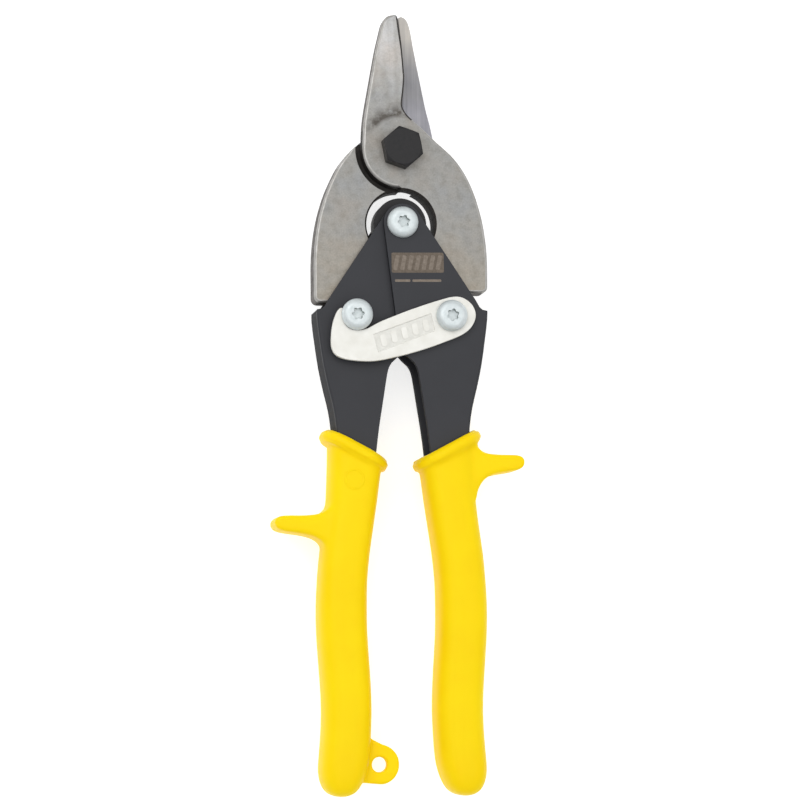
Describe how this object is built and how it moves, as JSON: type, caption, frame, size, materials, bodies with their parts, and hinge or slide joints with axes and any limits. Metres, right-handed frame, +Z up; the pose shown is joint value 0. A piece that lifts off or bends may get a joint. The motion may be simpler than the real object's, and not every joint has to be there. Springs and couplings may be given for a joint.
{
  "type": "aviation snips",
  "caption": "Compound-action aviation snips with short bulldog jaws, channel handles, a hook latch and moulded grips with finger guards, closed and latched.",
  "frame": {"origin": "under the middle of the bounding box, on the surface that the tool lies on", "axes": "+Z up out of the front face, along all the pivots; +Y along the tool to the jaw tips; +X to the right as the front is seen"},
  "size_m": [0.0772, 0.2401, 0.0259],
  "materials": {
    "blade_steel": "satin",
    "black_oxide": "matte",
    "coated_steel": "satin",
    "zinc_plate": "satin",
    "latch_plate": "satin",
    "spring_steel": "satin",
    "grip_plastic": "semi_gloss",
    "nylon": "matte"
  },
  "bodies": {
    "front_half": {"blade_front": "blade_steel", "pivot_bolt": "black_oxide", "pivot_washer": "zinc_plate", "pivot_nut": "zinc_plate", "pivot_nut_ring": "nylon", "opening_spring": "spring_steel"},
    "rear_half": {"blade_rear": "blade_steel"},
    "right_lever": {"handle_right": "coated_steel", "grip_right": "grip_plastic", "handle_pivot_screw": "zinc_plate", "handle_pivot_sleeve": "zinc_plate", "handle_pivot_spacer": "black_oxide", "handle_pivot_nut": "zinc_plate", "link_screw_right": "zinc_plate", "link_bush_right": "zinc_plate", "link_nut_right": "zinc_plate", "latch_bush": "zinc_plate", "latch_washer": "zinc_plate"},
    "left_lever": {"handle_left": "coated_steel", "grip_left": "grip_plastic", "hang_lug": "grip_plastic", "link_screw_left": "zinc_plate", "link_bush_left": "zinc_plate", "link_nut_left": "zinc_plate", "latch_standoff": "zinc_plate"},
    "latch_lever": {"latch": "latch_plate"}
  },
  "joints": [
    {"name": "blade_pivot", "type": "hinge", "parent": "front_half", "child": "rear_half", "pos_m": [0, 0.07745, 0.0133], "axis": [0, 0, -1], "range_deg": [0, 16.5], "deforming": ["opening_spring"]},
    {"name": "right_link_pivot", "type": "hinge", "parent": "front_half", "child": "right_lever", "pos_m": [0.0146, 0.02545, 0.0133], "axis": [0, 0, 1], "range_deg": [0, 7.38]},
    {"name": "left_link_pivot", "type": "hinge", "parent": "rear_half", "child": "left_lever", "pos_m": [-0.0146, 0.02545, 0.0133], "axis": [0, 0, -1], "range_deg": [0, 7.38]},
    {"name": "latch_pivot", "type": "hinge", "parent": "right_lever", "child": "latch_lever", "pos_m": [0.0146, 0.02545, 0.0133], "axis": [0, 0, 1], "range_deg": [0, 58]}
  ],
  "couplings": [
    {"joint": "right_link_pivot", "follows": "blade_pivot", "ratio": 0.4445},
    {"joint": "left_link_pivot", "follows": "blade_pivot", "ratio": 0.4445},
    {"joint": "latch_pivot", "follows": "blade_pivot", "ratio": 3.5}
  ]
}
